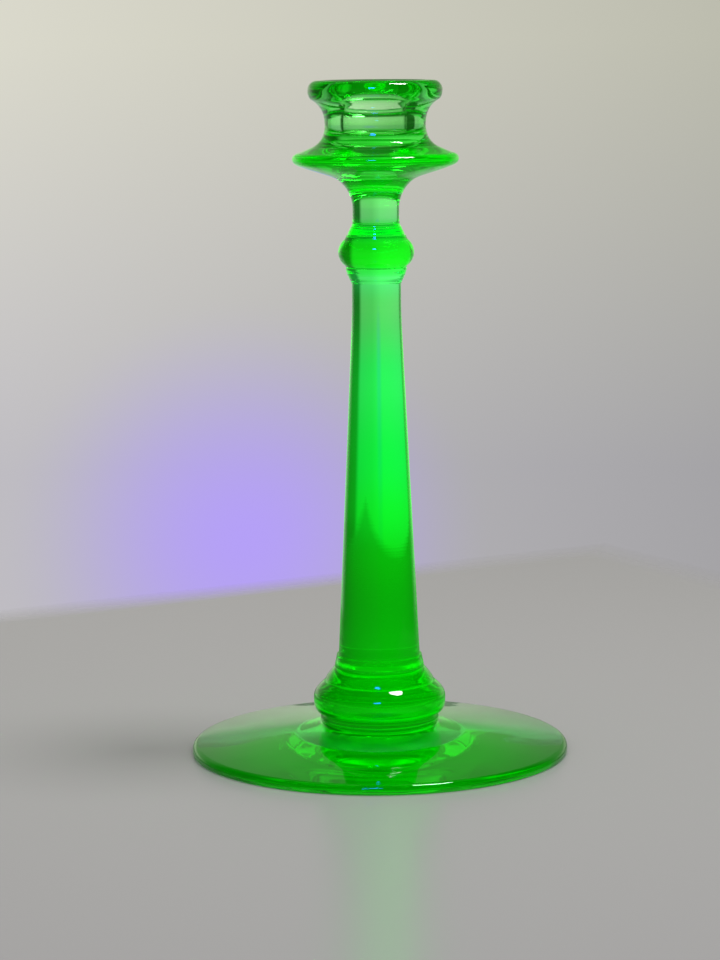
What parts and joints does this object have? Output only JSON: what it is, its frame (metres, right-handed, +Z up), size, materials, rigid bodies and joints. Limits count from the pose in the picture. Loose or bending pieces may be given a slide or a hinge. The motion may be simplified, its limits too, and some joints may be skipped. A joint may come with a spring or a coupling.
{
  "type": "candlestick",
  "caption": "Tall glass candlestick: conical disc foot, drum-shaped base knop, tapering column, ball knop, drip pan and waisted candle cup with an everted lip.",
  "frame": {"origin": "on the candle axis, at the plane of the foot's bearing ring, which is the table", "axes": "+Z up along the candle axis; X and Y lie in the table, and the object is turned, so neither is special"},
  "size_m": [0.129, 0.129, 0.2286],
  "materials": {
    "foot_glass": "clear yellow-green uranium glass, fire polished",
    "base_glass": "clear yellow-green uranium glass, thick, glowing green under violet light",
    "stem_glass": "clear yellow-green uranium glass, tooled smooth",
    "cup_glass": "clear yellow-green uranium glass, with faint tooling rings"
  },
  "bodies": {
    "root": {"foot": "foot_glass", "foot_merese": "base_glass", "base_knop": "base_glass", "shoulder_ring": "base_glass", "seat_ring": "base_glass", "stem": "stem_glass", "lower_wafer": "stem_glass", "upper_wafer": "stem_glass", "ball_knop": "stem_glass", "neck_collar": "stem_glass", "neck": "stem_glass", "drip_pan": "cup_glass", "candle_cup": "cup_glass"}
  },
  "joints": []
}
